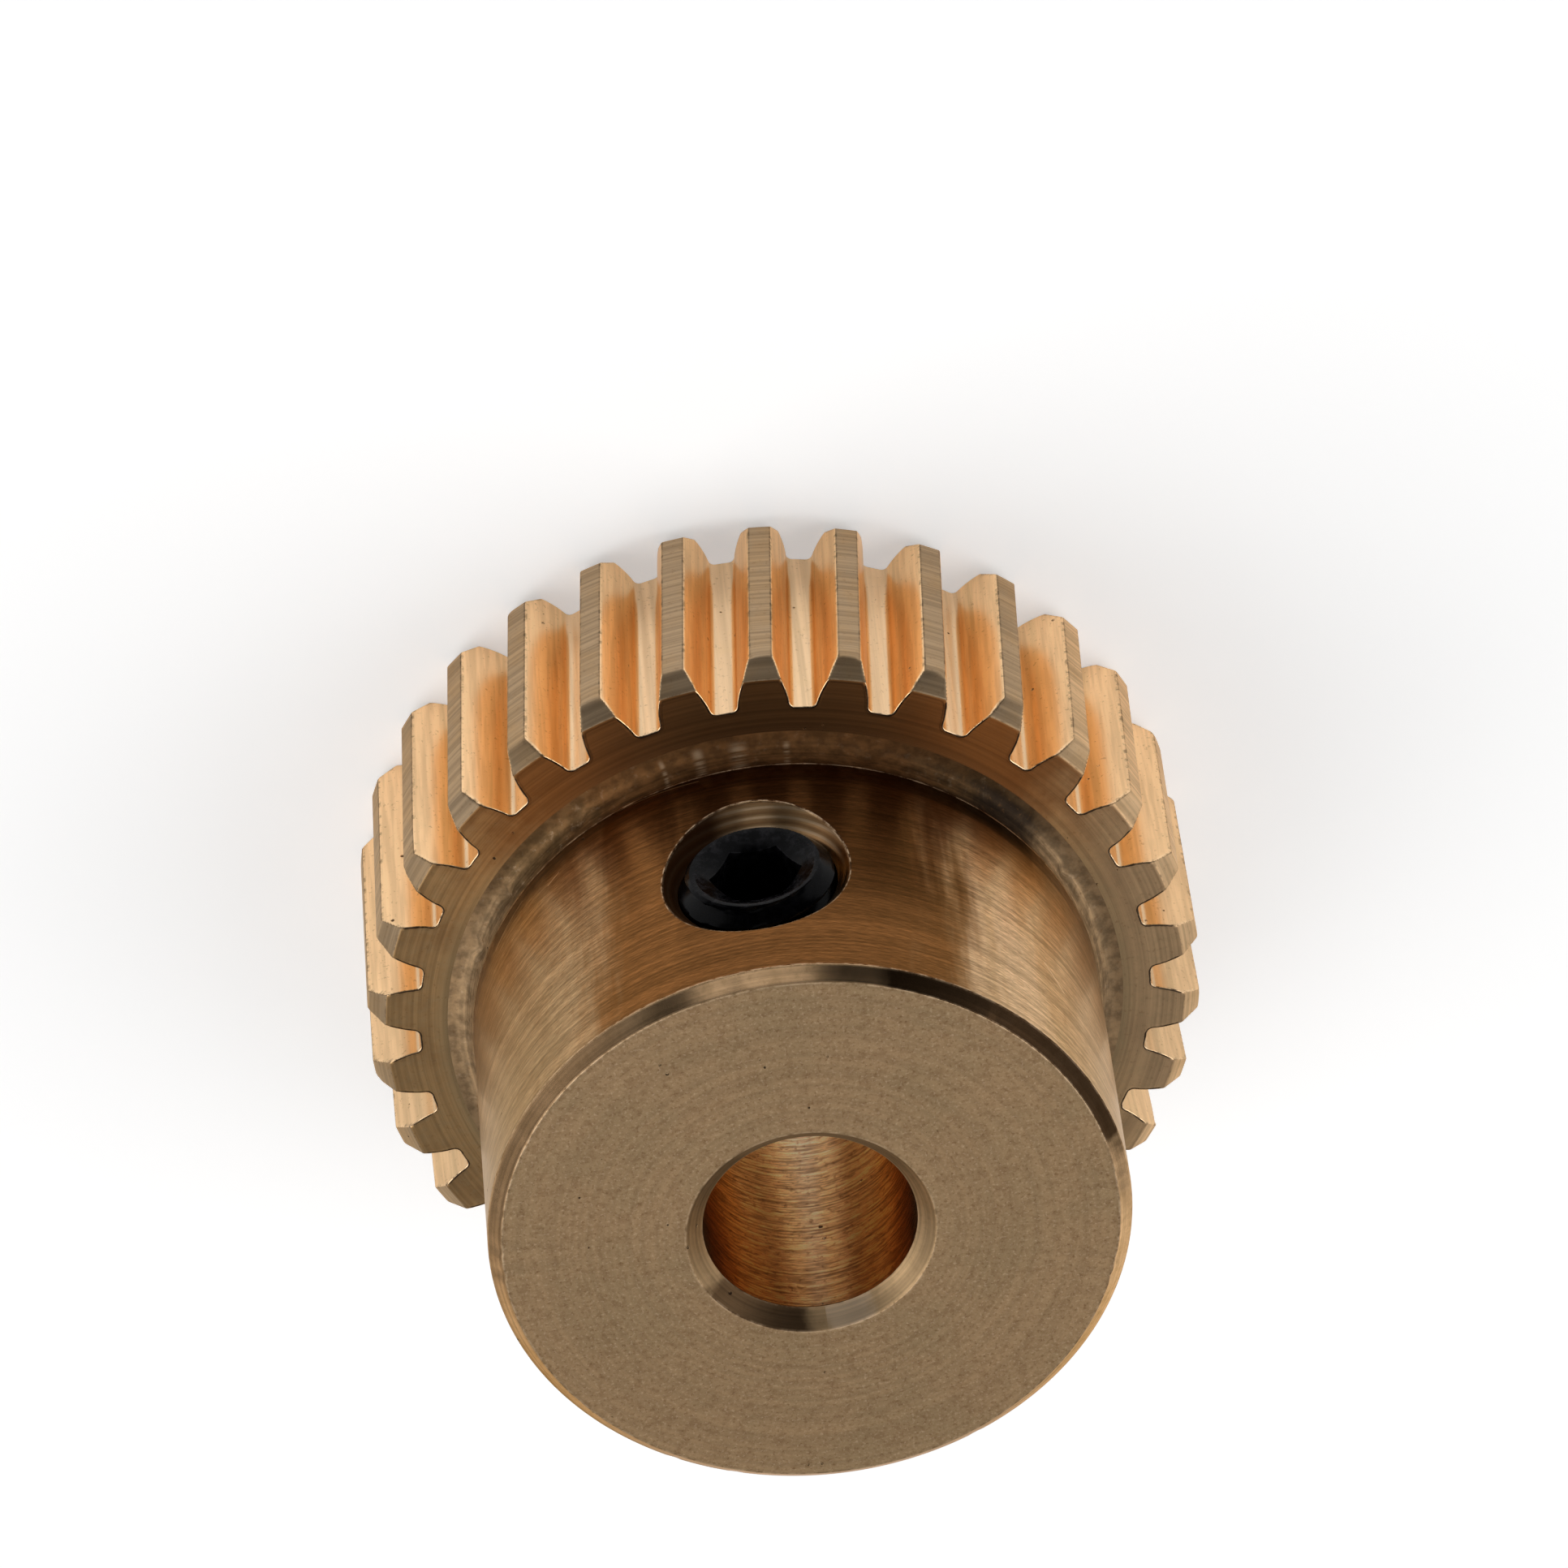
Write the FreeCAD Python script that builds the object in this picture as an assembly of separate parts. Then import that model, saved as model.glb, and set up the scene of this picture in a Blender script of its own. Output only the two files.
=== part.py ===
import FreeCAD, Part
import math
import os

# Worm wheel with a plain hub, and the grub screw that locks it to its shaft.
# Lengths are in millimetres and angles in degrees. The wheel's axis is Z, the
# back face of the toothed rim lies on z = 0 and the hub points up. The grub
# screw comes in through the hub wall from the front, which is -Y.

# Teeth. The wheel's transverse module is the worm's axial module.
module = 0.5
tooth_count = 30
pressure_angle = 20.0
worm_pitch_diameter = 9.0
worm_starts = 1
profile_shift = 0.075        # the cutter stands this far out of its standard depth
root_clearance = 0.05        # from the worm's crests to the gap bottoms
root_fillet_radius = 0.12
rim_width = 5.0
rim_chamfer = 0.33           # on the tooth tips, at both faces
gap_phase = 0.4              # from the screw's direction to a gap, at mid width

# Hub and bore
hub_diameter = 12.0
hub_length = 7.0             # from the rim's front face to the hub's end
hub_chamfer = 0.25
hub_root_fillet = 0.35       # concave, where the hub meets the rim
bore_diameter = 4.0
bore_chamfer = 0.33          # at both ends of the bore

# Grub screw and its hole, both at the thread's outside diameter
thread_diameter = 3.0
thread_clearance = 0.02      # all round, between the screw and its hole
screw_height = 3.5           # of the screw's axis, above the rim's front face
countersink_diameter = 4.04  # across the mouth, where the hub stands highest
screw_length = 3.0
screw_recess = 0.05          # from the hub's surface down to the screw's head
screw_head_chamfer = 0.26
screw_point_chamfer = 0.5
cup_diameter = 1.5           # of the hollow in the screw's point
cup_depth = 0.4
socket_across_flats = 1.5
socket_depth = 1.3
socket_tip_depth = 0.35      # of the drilled cone at the bottom of the socket
socket_turn = 30.0           # of the socket's corners, from the wheel's axis

# How far a cutting tool runs past the face that it cuts
overcut = 0.4

# Worked out from the sizes above
pitch_radius = module * tooth_count / 2
tip_radius = pitch_radius + module
root_radius = pitch_radius - module - root_clearance + profile_shift
base_radius = pitch_radius * math.cos(math.radians(pressure_angle))
lead_angle = math.atan(worm_starts * module / worm_pitch_diameter)
hub_radius = hub_diameter / 2
bore_radius = bore_diameter / 2
total_length = rim_width + hub_length
screw_z = rim_width + screw_height
screw_direction = -90.0      # seen from above, from +X
head_reach = hub_radius - screw_recess
point_reach = head_reach - screw_length

UP = FreeCAD.Vector(0, 0, 1)
ORIGIN = FreeCAD.Vector(0, 0, 0)
FLANK_POINTS = 7


def polar(radius, angle, height=0.0):
    """Point at a radius and an angle in radians about the wheel's axis."""
    return FreeCAD.Vector(radius * math.cos(angle), radius * math.sin(angle), height)


def revolve(segments):
    """Solid of revolution of a closed half section, given as a list of edges."""
    wire = Part.Wire([segment.toShape() for segment in segments])
    return Part.Face(wire).revolve(ORIGIN, UP, 360)


def closed_polygon(corners):
    """Edges of a closed polygon in the XZ plane, from (x, z) corners."""
    points = [FreeCAD.Vector(x, 0, z) for x, z in corners]
    following = points[1:] + points[:1]
    return [Part.LineSegment(start, end) for start, end in zip(points, following)]


# The turned blank: rim, hub, bore and their chamfers in one half section

def turned_blank():
    fillet_start = FreeCAD.Vector(hub_radius + hub_root_fillet, 0, rim_width)
    fillet_end = FreeCAD.Vector(hub_radius, 0, rim_width + hub_root_fillet)
    inset = hub_root_fillet * (1 - math.sqrt(0.5))
    fillet_middle = FreeCAD.Vector(hub_radius + inset, 0, rim_width + inset)
    rim_corners = [
        (bore_radius, bore_chamfer),
        (bore_radius + bore_chamfer, 0),
        (tip_radius - rim_chamfer, 0),
        (tip_radius, rim_chamfer),
        (tip_radius, rim_width - rim_chamfer),
        (tip_radius - rim_chamfer, rim_width),
    ]
    hub_corners = [
        (hub_radius, total_length - hub_chamfer),
        (hub_radius - hub_chamfer, total_length),
        (bore_radius + bore_chamfer, total_length),
        (bore_radius, total_length - bore_chamfer),
    ]
    before = [FreeCAD.Vector(x, 0, z) for x, z in rim_corners] + [fillet_start]
    after = [fillet_end] + [FreeCAD.Vector(x, 0, z) for x, z in hub_corners]
    after.append(before[0])
    section = [Part.LineSegment(start, end) for start, end in zip(before, before[1:])]
    section.append(Part.Arc(fillet_start, fillet_middle, fillet_end))
    section += [Part.LineSegment(start, end) for start, end in zip(after, after[1:])]
    return revolve(section)


# One tooth gap: two involute flanks, two root fillets and the gap's bottom

def involute(angle):
    return math.tan(angle) - angle


def gap_half_angle(radius):
    """Half of the gap's width, as an angle, at a radius on its flanks."""
    shift_ratio = profile_shift / module
    alpha = math.radians(pressure_angle)
    tooth_half = (math.pi / 2 + 2 * shift_ratio * math.tan(alpha)) / tooth_count
    tooth_half_at_base = tooth_half + involute(alpha)
    roll = involute(math.acos(base_radius / radius))
    return math.pi / tooth_count - tooth_half_at_base + roll


def gap_section(height, turn):
    """Closed outline of one gap at a height, turned by an angle in radians."""
    centre_radius = root_radius + root_fillet_radius
    centre_angle = gap_half_angle(centre_radius) - root_fillet_radius / base_radius
    centre_roll = math.sqrt(centre_radius ** 2 - base_radius ** 2)
    flank_roll = centre_roll - root_fillet_radius
    flank_start = math.sqrt(base_radius ** 2 + flank_roll ** 2)
    flank_end = tip_radius + overcut

    def flank(side):
        points = []
        for step in range(FLANK_POINTS):
            radius = flank_start + (flank_end - flank_start) * step / (FLANK_POINTS - 1)
            points.append(polar(radius, turn + side * gap_half_angle(radius), height))
        curve = Part.BSplineCurve()
        curve.interpolate(points)
        return points[0], points[-1], curve

    def fillet(side, flank_point):
        root_point = polar(root_radius, turn + side * centre_angle, height)
        centre = polar(centre_radius, turn + side * centre_angle, height)
        outward = (flank_point - centre) + (root_point - centre)
        middle = centre + outward.normalize() * root_fillet_radius
        return root_point, Part.Arc(flank_point, middle, root_point)

    left_start, left_end, left_flank = flank(1)
    right_start, right_end, right_flank = flank(-1)
    left_root, left_fillet = fillet(1, left_start)
    right_root, right_fillet = fillet(-1, right_start)
    bottom = Part.Arc(left_root, polar(root_radius, turn, height), right_root)
    outline = [left_flank, left_fillet, bottom, right_fillet, right_flank,
               Part.LineSegment(left_end, right_end)]
    return Part.Wire(Part.sortEdges([edge.toShape() for edge in outline])[0])


def gap_cutter():
    """Right-handed helical gap, a little longer than the rim is wide."""
    middle = math.radians(screw_direction + gap_phase)
    heights = (-overcut, rim_width / 2, rim_width + overcut)
    sections = []
    for height in heights:
        twist = (height - rim_width / 2) * math.tan(lead_angle) / pitch_radius
        sections.append(gap_section(height, middle + twist))
    return Part.makeLoft(sections, True, False)


def toothed(blank):
    cutter = gap_cutter()
    cutters = []
    for index in range(tooth_count):
        copy = cutter.copy()
        copy.rotate(ORIGIN, UP, 360.0 * index / tooth_count)
        cutters.append(copy)
    return blank.cut(cutters)


# The grub screw and its hole, made along +Z and then laid along the screw's axis

def laid_radially(shape):
    """Turns a shape made along +Z so that it points out of the hub."""
    shape.rotate(ORIGIN, FreeCAD.Vector(0, 1, 0), 90)
    shape.rotate(ORIGIN, UP, screw_direction)
    shape.translate(FreeCAD.Vector(0, 0, screw_z))
    return shape


def screw_hole():
    """Threaded hole from the bore outward, with its countersunk mouth."""
    hole = Part.makeCylinder(thread_diameter / 2, hub_radius + overcut)
    mouth_radius = countersink_diameter / 2 + overcut
    mouth = Part.makeCone(0, mouth_radius, mouth_radius)
    mouth.translate(FreeCAD.Vector(0, 0, hub_radius + overcut - mouth_radius))
    return laid_radially(hole.fuse(mouth))


def worm_wheel():
    wheel = toothed(turned_blank()).cut(screw_hole())
    return wheel.removeSplitter()


def hexagon_face(across_flats, height):
    corner_radius = across_flats / math.sqrt(3)
    angles = [math.radians(socket_turn + 60 * side) for side in range(7)]
    corners = [polar(corner_radius, angle, height) for angle in angles]
    return Part.Face(Part.makePolygon(corners))


def grub_screw():
    screw_radius = thread_diameter / 2 - thread_clearance
    head_radius = screw_radius - screw_head_chamfer
    point_radius = screw_radius - screw_point_chamfer
    body = revolve(closed_polygon([
        (0, point_reach + cup_depth),
        (cup_diameter / 2, point_reach),
        (point_radius, point_reach),
        (screw_radius, point_reach + screw_point_chamfer),
        (screw_radius, head_reach - screw_head_chamfer),
        (head_radius, head_reach),
        (0, head_reach),
    ]))
    floor = head_reach - socket_depth
    flats = hexagon_face(socket_across_flats, floor)
    socket = flats.extrude(FreeCAD.Vector(0, 0, socket_depth + overcut))
    tip = Part.makeCone(0, socket_across_flats / 2, socket_tip_depth)
    tip.translate(FreeCAD.Vector(0, 0, floor - socket_tip_depth))
    return laid_radially(body.cut([socket, tip]))


PARTS = {
    "worm_wheel": worm_wheel,
    "grub_screw": grub_screw,
}

os.makedirs("parts", exist_ok=True)
for node, make in PARTS.items():
    shape = make()
    shape.exportStep(os.path.join("parts", node + ".step"))
    print(node, "valid", shape.isValid(), "solids", len(shape.Solids),
          "volume", round(shape.Volume, 3))
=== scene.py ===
import math
import random

import bmesh
import bpy
import numpy as np
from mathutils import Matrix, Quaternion, Vector


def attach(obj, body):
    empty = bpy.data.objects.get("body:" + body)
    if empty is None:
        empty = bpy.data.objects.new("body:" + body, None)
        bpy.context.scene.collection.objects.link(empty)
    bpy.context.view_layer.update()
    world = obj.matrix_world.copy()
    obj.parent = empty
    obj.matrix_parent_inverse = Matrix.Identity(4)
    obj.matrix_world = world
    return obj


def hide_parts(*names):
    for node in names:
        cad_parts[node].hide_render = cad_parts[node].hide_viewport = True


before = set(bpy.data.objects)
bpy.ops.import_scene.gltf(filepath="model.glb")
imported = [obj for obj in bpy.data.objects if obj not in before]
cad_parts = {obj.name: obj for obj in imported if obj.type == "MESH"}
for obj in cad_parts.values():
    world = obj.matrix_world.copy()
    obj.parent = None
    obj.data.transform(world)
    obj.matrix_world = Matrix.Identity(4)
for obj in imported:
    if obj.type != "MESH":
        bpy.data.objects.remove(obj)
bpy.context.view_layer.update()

# Worm wheel with a plain hub, lying with its back on the floor, and its grub screw.
# Sizes are in millimetres and angles in degrees, the same as in the CAD model. The
# wheel's axis is Z, its back face lies on z = 0, and the screw points out to -Y.
MM = 0.001

# Teeth
tooth_count = 30
module = 0.5
pressure_angle = 20.0
profile_shift = 0.075
root_radius = 7.025
root_fillet_radius = 0.12
tip_radius = 8.0
rim_width = 5.0
rim_chamfer = 0.33
lead_angle = 3.18
gap_direction = -89.6        # of the gap nearest to the screw, at mid width

# Hub and bore
hub_radius = 6.0
hub_chamfer = 0.25
hub_root_fillet = 0.35
total_length = 12.0
bore_radius = 2.0
bore_chamfer = 0.33

# Screw hole
screw_height = 8.5
countersink_radius = 2.02
thread_radius = 1.5
thread_minor_radius = 1.25
thread_pitch = 0.5
threaded_from = 2.85         # the hole's thread shows only past the screw's point

# Grub screw, with reaches from the wheel's axis
screw_crest_radius = 1.48
screw_root_radius = 1.2
screw_head_reach = 5.95
screw_point_reach = 2.95
screw_head_chamfer = 0.26
screw_point_chamfer = 0.5
cup_radius = 0.75
cup_depth = 0.4
socket_apothem = 0.75
socket_depth = 1.3
socket_tip_depth = 0.35
socket_cone_radius = 1.12    # of the shallow cone round the socket's mouth
socket_cone_slope = 0.55

# Small edges left by the cutting tools
edge_rounding = 0.03         # on turned edges
flank_edge_blend = 0.045     # where flank, land and tip chamfer meet
gap_edge_rounding = 0.012    # where a gap runs out of a face
burr_height = 0.008
burr_width = 0.06
mouth_edge_reach = 0.05      # of the fine rows to either side of the mouth's edge

# Rings on the faces, where one part of the skin ends and the next begins
root_ring = 6.48
rim_ring = 6.85
hub_end_ring = 4.2
bore_end_ring = 4.0
back_ring = 4.4

pitch_radius = module * tooth_count / 2
base_radius = pitch_radius * math.cos(math.radians(pressure_angle))
clip_radius = tip_radius - rim_chamfer
mid_height = total_length / 2
TOLERANCE = 1e-6

# Kinds of surface, in the order of the wheel's material slots
TURNED, FACED, RIM_FACE, FLANK, LAND, BORE, CHAMFER, MOUTH, ROOT = range(9)


def soft_min(first, second, blend):
    """Smaller of two lengths, with the corner between them rounded off."""
    gap = np.maximum(blend - np.abs(first - second), 0.0)
    return np.minimum(first, second) - gap * gap / (4 * blend)


class Skin:
    """Rows of points, in millimetres, and the strips of faces between them.

    The wear of a point, from 0 to 1, is how much its edge is rubbed or burred; on the screw's
    socket cone it also places a painted highlight."""

    def __init__(self):
        self.points = []
        self.wear = []
        self.faces = []
        self.kinds = []

    def row(self, points, wear=0.0):
        start = len(self.points)
        points = [tuple(point) for point in points]
        self.points += points
        self.wear += [float(w) for w in np.broadcast_to(wear, len(points))]
        return list(range(start, start + len(points)))

    def face(self, corners, kind):
        self.faces.append(corners)
        self.kinds.append(kind)

    def strip(self, first, second, kind, left_out=()):
        """Quads between two closed rows of the same length."""
        count = len(first)
        for index in range(count):
            if index in left_out:
                continue
            after = (index + 1) % count
            self.face((first[index], first[after], second[after], second[index]), kind)

    def grow(self, row, points, kind, wear=0.0):
        """New row, joined to a row of the same length."""
        following = self.row(points, wear)
        self.strip(row, following, kind)
        return following

    def zipper(self, first, second, kind):
        """Triangles between two closed rows of different lengths round the axis."""
        def turned(row):
            angles = [math.atan2(self.points[i][1], self.points[i][0]) for i in row]
            start = int(np.argmin(angles))
            row = row[start:] + row[:start]
            angles = angles[start:] + angles[:start]
            return row + row[:1], angles + [angles[0] + 2 * math.pi]

        first, first_angles = turned(first)
        second, second_angles = turned(second)
        i = 0
        j = 0
        while i < len(first) - 1 or j < len(second) - 1:
            done = j == len(second) - 1
            if i < len(first) - 1 and (done or first_angles[i + 1] <= second_angles[j + 1]):
                self.face((first[i], first[i + 1], second[j]), kind)
                i += 1
            else:
                self.face((first[i], second[j + 1], second[j]), kind)
                j += 1

    def fan(self, row, point, kind):
        tip = self.row([point])[0]
        for index in range(len(row)):
            self.face((row[index], row[(index + 1) % len(row)], tip), kind)

    def make(self, name, materials, sharp_angle):
        """Object of this skin, in metres, with faces turned outward."""
        mesh = bpy.data.meshes.new(name)
        points = np.array(self.points) * MM
        mesh.from_pydata([tuple(point) for point in points], [], self.faces)
        for material in materials:
            mesh.materials.append(material)
        mesh.polygons.foreach_set("material_index", self.kinds)
        wear = mesh.attributes.new("edge_wear", "FLOAT", "POINT")
        wear.data.foreach_set("value", self.wear)
        shell = bmesh.new()
        shell.from_mesh(mesh)
        bmesh.ops.recalc_face_normals(shell, faces=shell.faces)
        shell.to_mesh(mesh)
        shell.free()
        mesh.shade_smooth()
        mesh.set_sharp_from_angle(angle=math.radians(sharp_angle))
        piece = bpy.data.objects.new(name, mesh)
        bpy.context.scene.collection.objects.link(piece)
        return piece


# Toothed rim

def involute(angle):
    return math.tan(angle) - angle


def gap_half_angle(radius):
    """Half of the gap's width, as an angle, at a radius on its flanks."""
    alpha = math.radians(pressure_angle)
    shift_ratio = profile_shift / module
    tooth_half = (math.pi / 2 + 2 * shift_ratio * math.tan(alpha)) / tooth_count
    roll = involute(math.acos(base_radius / radius))
    return math.pi / tooth_count - tooth_half - involute(alpha) + roll


FILLET_STEPS = 4
FLANK_RADII = (7.22, 7.34, 7.46, 7.57, 7.67, 7.71, 7.755, 7.80, 7.85, 7.90, 7.94, 7.97,
               8.0, 8.03, 8.07, 8.17)
OVERRUN = 0.37  # of a tooth's middle column past its tip, before it is clipped


def half_gap(inset=0.0):
    """(angle, radius) of the gap's columns, from its centre to the tooth's centre.

    The inset moves them into the metal, which only turns the involute flanks."""
    centre_radius = root_radius + root_fillet_radius
    centre_angle = gap_half_angle(centre_radius) - root_fillet_radius / base_radius
    centre_roll = math.sqrt(centre_radius ** 2 - base_radius ** 2)
    flank_roll = centre_roll - root_fillet_radius
    flank_start = math.sqrt(base_radius ** 2 + flank_roll ** 2)
    columns = [(0.0, root_radius - inset), (centre_angle / 2, root_radius - inset)]
    centre = np.array([0.0, centre_radius])
    start = np.array([0.0, -root_fillet_radius])
    aside = gap_half_angle(flank_start) - centre_angle
    end = flank_start * np.array([math.sin(aside), math.cos(aside)]) - centre
    sweep = math.acos(float(start @ end) / root_fillet_radius ** 2)
    for step in range(FILLET_STEPS + 1):
        turn = sweep * step / FILLET_STEPS
        x = (root_fillet_radius + inset) * math.sin(turn)
        y = centre_radius - (root_fillet_radius + inset) * math.cos(turn)
        columns.append((centre_angle + math.atan2(x, y), math.hypot(x, y)))
    for radius in FLANK_RADII:
        columns.append((gap_half_angle(radius) + inset / base_radius, radius))
    columns.append((math.pi / tooth_count, tip_radius + OVERRUN))
    return columns


def rim_columns(inset=0.0):
    """Angles and free radii of all columns round the rim, at mid width."""
    half = half_gap(inset)
    pitch = [(-angle, radius) for angle, radius in half[:0:-1]] + half[:-1]
    angles = []
    radii = []
    for tooth in range(tooth_count):
        centre = math.radians(gap_direction) + 2 * math.pi * tooth / tooth_count
        angles += [centre + angle for angle, _ in pitch]
        radii += [radius for _, radius in pitch]
    return np.array(angles), np.array(radii)


def tooth_twist(height):
    """Turn of the teeth at a height, as an angle from mid width."""
    return (height - rim_width / 2) * math.tan(math.radians(lead_angle)) / pitch_radius


def rim_outline(height, inset=0.0):
    """Points of the rim's outline at a height, drawn in by the inset."""
    angles, radii = rim_columns(inset)
    edge_distance = min(height, rim_width - height)
    clip = soft_min(clip_radius + edge_distance, tip_radius, flank_edge_blend)
    radii = soft_min(radii, clip - inset, flank_edge_blend)
    angles = angles + tooth_twist(height)
    return np.column_stack([radii * np.cos(angles), radii * np.sin(angles)])


def rim_stations():
    """(height, inset, worn) of the rim's rows, with a row for each radius in the chamfer."""
    edges = [(0.0, gap_edge_rounding, True), (0.006, gap_edge_rounding / 4, True)]
    distances = [0.02] + [radius - clip_radius for radius in FLANK_RADII[5:14]]
    edges += [(distance, 0.0, False) for distance in distances + [0.42, 1.0, 1.8]]
    far = [(rim_width - distance, inset, worn) for distance, inset, worn in reversed(edges)]
    return edges + [(rim_width / 2, 0.0, False)] + far


def tip_limit(height):
    """Radius at which the tip's land or chamfer cuts the flanks off, at a height."""
    return min(clip_radius + min(height, rim_width - height), tip_radius)


def add_rim(skin):
    """Teeth between both faces. Returns the rows at the back and front faces."""
    _, free_radii = rim_columns()
    columns = len(free_radii)
    stations = rim_stations()
    rows = []
    for height, inset, worn in stations:
        points = np.column_stack([rim_outline(height, inset), np.full(columns, height)])
        limit = tip_limit(height)
        tip_wear = np.where(np.abs(free_radii - limit) < flank_edge_blend, 0.6, 0.0)
        face_wear = np.where(free_radii < limit, 1.0, 0.5) if worn else 0.0
        rows.append(skin.row(points, np.maximum(tip_wear, face_wear)))
    for lower, upper, station, following in zip(rows, rows[1:], stations, stations[1:]):
        limit = tip_limit((station[0] + following[0]) / 2)
        for index in range(columns):
            after = (index + 1) % columns
            on_land = (free_radii[index] + free_radii[after]) / 2 > limit
            skin.face((lower[index], lower[after], upper[after], upper[index]),
                      LAND if on_land else FLANK)
    return rows[0], rows[-1]


def add_face_edge(skin, row, height):
    """Burred band on a face along the gaps' edges. Returns its inner row.

    The burr stands up on the front face only, because the wheel lies on its back."""
    lip_wear = np.where(rim_columns()[1] < clip_radius, 0.8, 0.3)
    raised = burr_height if height > 0 else 0.0
    for inset, lift, wear in ((burr_width * 0.4, raised, lip_wear),
                              (burr_width, 0.0, 0.1), (burr_width + 0.015, 0.0, 0.0)):
        outline = rim_outline(height, gap_edge_rounding + inset)
        points = [(x, y, height + lift) for x, y in outline]
        row = skin.grow(row, points, RIM_FACE, wear)
    return row


# Turned surfaces

def rounded(corners):
    """Half section through (r, z, rounding, steps) corners: (r, z, wear, corner)."""
    section = []
    for index, (r, z, rounding, steps) in enumerate(corners):
        here = np.array([r, z])
        if not rounding:
            section.append((r, z, 0.0, index))
            continue
        before = np.array(corners[index - 1][:2]) - here
        after = np.array(corners[index + 1][:2]) - here
        before /= np.linalg.norm(before)
        after /= np.linalg.norm(after)
        half_turn = (math.pi - math.acos(float(before @ after))) / 2
        setback = rounding * math.tan(half_turn)
        towards = (before + after) / np.linalg.norm(before + after)
        centre = here + towards * rounding / math.cos(half_turn)
        start = here + before * setback - centre
        end = here + after * setback - centre
        support = min(rounding, edge_rounding)
        worn = 1.0 if rounding <= edge_rounding else 0.0
        first = here + before * (setback + support)
        section.append((first[0], first[1], 0.0, index - 1))
        for step in range(steps + 1):
            share = step / steps
            arm = start * math.sin((1 - share) * 2 * half_turn)
            arm += end * math.sin(share * 2 * half_turn)
            point = centre + arm / math.sin(2 * half_turn)
            before_it = step < steps if rounding > edge_rounding else step == 0
            section.append((point[0], point[1], worn, index - before_it))
        last = here + after * (setback + support)
        section.append((last[0], last[1], 0.0, index))
    return section


def ring(radius, height, columns):
    angles = np.radians(-180 + 360 * np.arange(columns) / columns)
    return np.column_stack([radius * np.cos(angles), radius * np.sin(angles),
                            np.full(columns, height)])


def add_turned(skin, section, kinds, columns, window=None):
    """Revolves a section. Leaves out the window, and returns its edge as a loop."""
    rows = [skin.row(ring(r, z, columns), worn) for r, z, worn, _ in section]
    loop = []
    if window:
        low, high, half_width = window
        inside = [index for index, point in enumerate(section)
                  if low - TOLERANCE < point[1] < high + TOLERANCE
                  and kinds[point[3]] in (TURNED, BORE)]
        if section[-1][1] < section[0][1]:
            inside.reverse()
        left = round((90 - half_width) / 360 * columns)
        right = round((90 + half_width) / 360 * columns)
        bottom, top = rows[inside[0]], rows[inside[-1]]
        loop += [bottom[column] for column in range(left, right)]
        loop += [rows[index][right] for index in inside[:-1]]
        loop += [top[column] for column in range(right, left, -1)]
        loop += [rows[index][left] for index in inside[:0:-1]]
        window_rows = set(inside)
    for index in range(len(rows) - 1):
        kind = kinds[section[index][3]]
        cut = window and index in window_rows and index + 1 in window_rows
        left_out = range(left, right) if cut else ()
        skin.strip(rows[index], rows[index + 1], kind, left_out)
    return rows, loop


# (height above the fillet, depth, wear) of the fine line that the tool left there
ROOT_LINE = ((0.02, 0.0, 0.2), (0.035, 0.012, 1.0), (0.055, 0.012, 1.0), (0.07, 0.0, 0.2))


def hub_section():
    """Half section from the rim's front face up the hub and in over its end."""
    corners = [
        (root_ring, rim_width, 0, 0),
        (hub_radius, rim_width, hub_root_fillet, 8),
        (hub_radius, total_length - hub_chamfer, edge_rounding, 3),
        (hub_radius - hub_chamfer, total_length, edge_rounding, 3),
        (hub_end_ring, total_length, 0, 0),
    ]
    kinds = [ROOT, TURNED, CHAMFER, FACED, FACED]
    section = rounded(corners)
    start = len([point for point in section if point[1] < mid_height])
    low, high, _ = HUB_WINDOW
    root = rim_width + hub_root_fillet
    line = [(hub_radius - depth, root + rise, worn, 1) for rise, depth, worn in ROOT_LINE]
    rows = [(hub_radius, low + (high - low) * step / HUB_WINDOW_ROWS, 0.0, 1)
            for step in range(HUB_WINDOW_ROWS + 1)]
    return section[:start - 1] + line + rows + section[start:], kinds


def bore_section():
    """Half section in over the hub's end, down the bore and out over the back."""
    corners = [
        (bore_end_ring, total_length, 0, 0),
        (bore_radius + bore_chamfer, total_length, edge_rounding, 3),
        (bore_radius, total_length - bore_chamfer, edge_rounding, 3),
        (bore_radius, bore_chamfer, edge_rounding, 3),
        (bore_radius + bore_chamfer, 0.0, edge_rounding, 3),
        (bore_end_ring, 0.0, 0, 0),
    ]
    kinds = [FACED, CHAMFER, BORE, CHAMFER, FACED, FACED]
    section = rounded(corners)
    upper = [point for point in section if point[1] > mid_height]
    lower = section[len(upper):]
    low, high, _ = BORE_WINDOW
    rows = [(bore_radius, high - (high - low) * step / BORE_WINDOW_ROWS, 0.0, 2)
            for step in range(BORE_WINDOW_ROWS + 1)]
    return upper + rows + lower, kinds


# Screw hole, seen along its axis: across is +X and up is +Z

# Windows in the hub and the bore: from and to a height, and half of the width in degrees
HUB_WINDOW = (5.9, 11.1, 26.0)
HUB_WINDOW_ROWS = 26
BORE_WINDOW = (6.5, 10.5, 60.0)
BORE_WINDOW_ROWS = 18
HUB_COLUMNS = 360
BORE_COLUMNS = 180
HOLE_THREAD_STEPS = 36
HALVINGS = 30  # in the search for where the thread meets the bore


def hole_point(reach, radius, angles):
    """Points round the screw's axis, at a reach from the wheel's axis."""
    return np.column_stack([radius * np.cos(angles),
                            -np.broadcast_to(reach, angles.shape),
                            screw_height + radius * np.sin(angles)])


def helix(reach, angles, root, crest, flat):
    """Radius of a thread, with flats on its roots and crests."""
    phase = (reach / thread_pitch - angles / (2 * math.pi)) % 1.0
    wave = np.clip((np.abs(phase * 2 - 1) - flat) / (1 - 2 * flat), 0.0, 1.0)
    return root + (crest - root) * wave


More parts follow.
